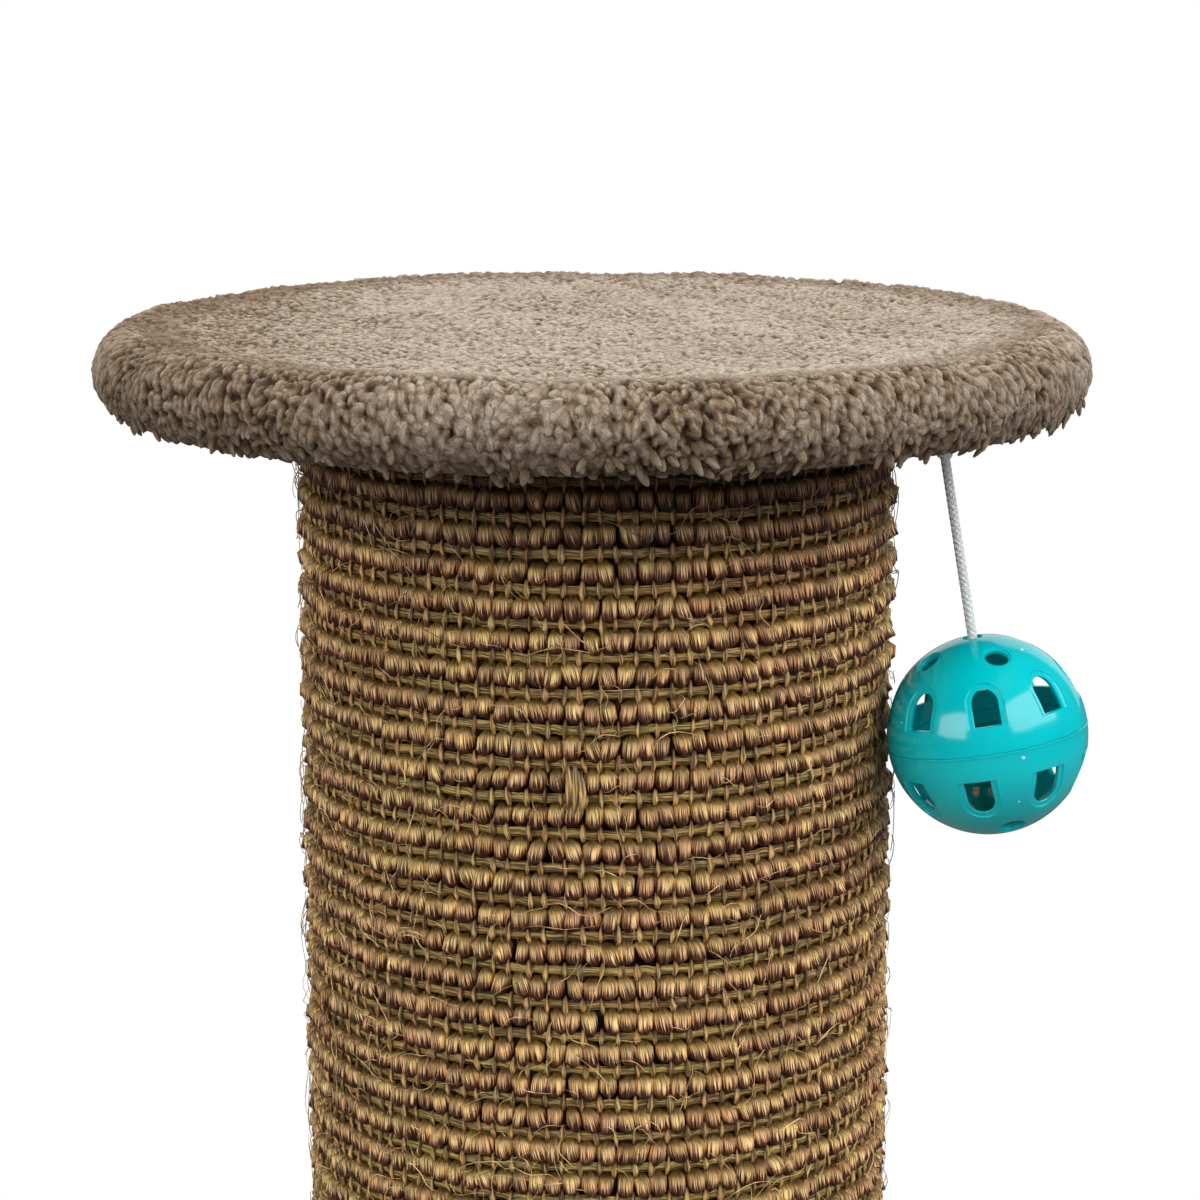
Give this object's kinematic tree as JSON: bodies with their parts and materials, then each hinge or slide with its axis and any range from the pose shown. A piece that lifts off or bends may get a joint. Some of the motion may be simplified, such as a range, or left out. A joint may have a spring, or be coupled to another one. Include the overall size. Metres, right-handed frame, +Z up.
{
  "type": "cat scratching post",
  "caption": "Round scratching post wrapped in woven sisal, with a plush platform and base, and a hollow ball with a bell that hangs on a cord.",
  "frame": {"origin": "middle of the base, on the floor under its pads", "axes": "+Z up along the post, -Y towards the front of the picture, +X to its right, where the toy hangs"},
  "size_m": [0.333, 0.333, 0.5201],
  "materials": {
    "plush": "sherpa plush pile, taupe",
    "sisal": "woven sisal loops, olive gold over brown",
    "board": "raw fibreboard",
    "wood": "raw plywood",
    "cardboard": "spiral-wound kraft board",
    "felt": "thin black needled felt",
    "rubber_pad": "matt",
    "zinc": "zinc-plated",
    "steel": "drawn wire",
    "cord": "white braided nylon",
    "ball_plastic": "glossy moulded, teal",
    "bell_metal": "bright plated"
  },
  "bodies": {
    "stand": {"base_pads": "rubber_pad", "base_lining": "felt", "base_board": "board", "base_cover": "plush", "base_staples": "steel", "base_washer": "zinc", "base_bolt": "zinc", "core_tube": "cardboard", "sisal_carpet": "sisal", "lower_plug": "wood", "upper_plug": "wood", "lower_plug_nut": "zinc", "upper_plug_nut": "zinc", "top_stud": "zinc", "top_lining": "felt", "top_board": "board", "top_board_nut": "zinc", "top_cover": "plush", "top_staples": "steel", "screw_eye": "steel"},
    "loop": {"cord_loop": "cord"},
    "cord": {"toy_cord": "cord", "cord_end_knot": "cord"},
    "ball": {"ball_upper": "ball_plastic", "ball_lower": "ball_plastic"},
    "bell": {"bell": "bell_metal"},
    "pellet": {"bell_pellet": "steel"}
  },
  "joints": [
    {"name": "toy_swing_out", "type": "hinge", "parent": "stand", "child": "loop", "pos_m": [0.06633, -0.01902, 0.5003], "axis": [-0.2756, -0.9613, 0], "range_deg": [0, 42]},
    {"name": "toy_swing_side", "type": "hinge", "parent": "loop", "child": "cord", "pos_m": [0.06699, -0.01921, 0.49636], "axis": [0.947, -0.2715, 0.1719], "range_deg": [-40, 40]},
    {"name": "ball_spin", "type": "hinge", "parent": "cord", "child": "ball", "pos_m": [0.07632, -0.02189, 0.4407], "axis": [-0.1652, 0.0474, 0.9851], "continuous": true},
    {"name": "bell_hop", "type": "slide", "parent": "ball", "child": "bell", "axis": [-0.1652, 0.0474, 0.9851], "range_m": [0, 0.012]},
    {"name": "pellet_hop", "type": "slide", "parent": "bell", "child": "pellet", "axis": [-0.1652, 0.0474, 0.9851], "range_m": [0, 0.009]}
  ]
}
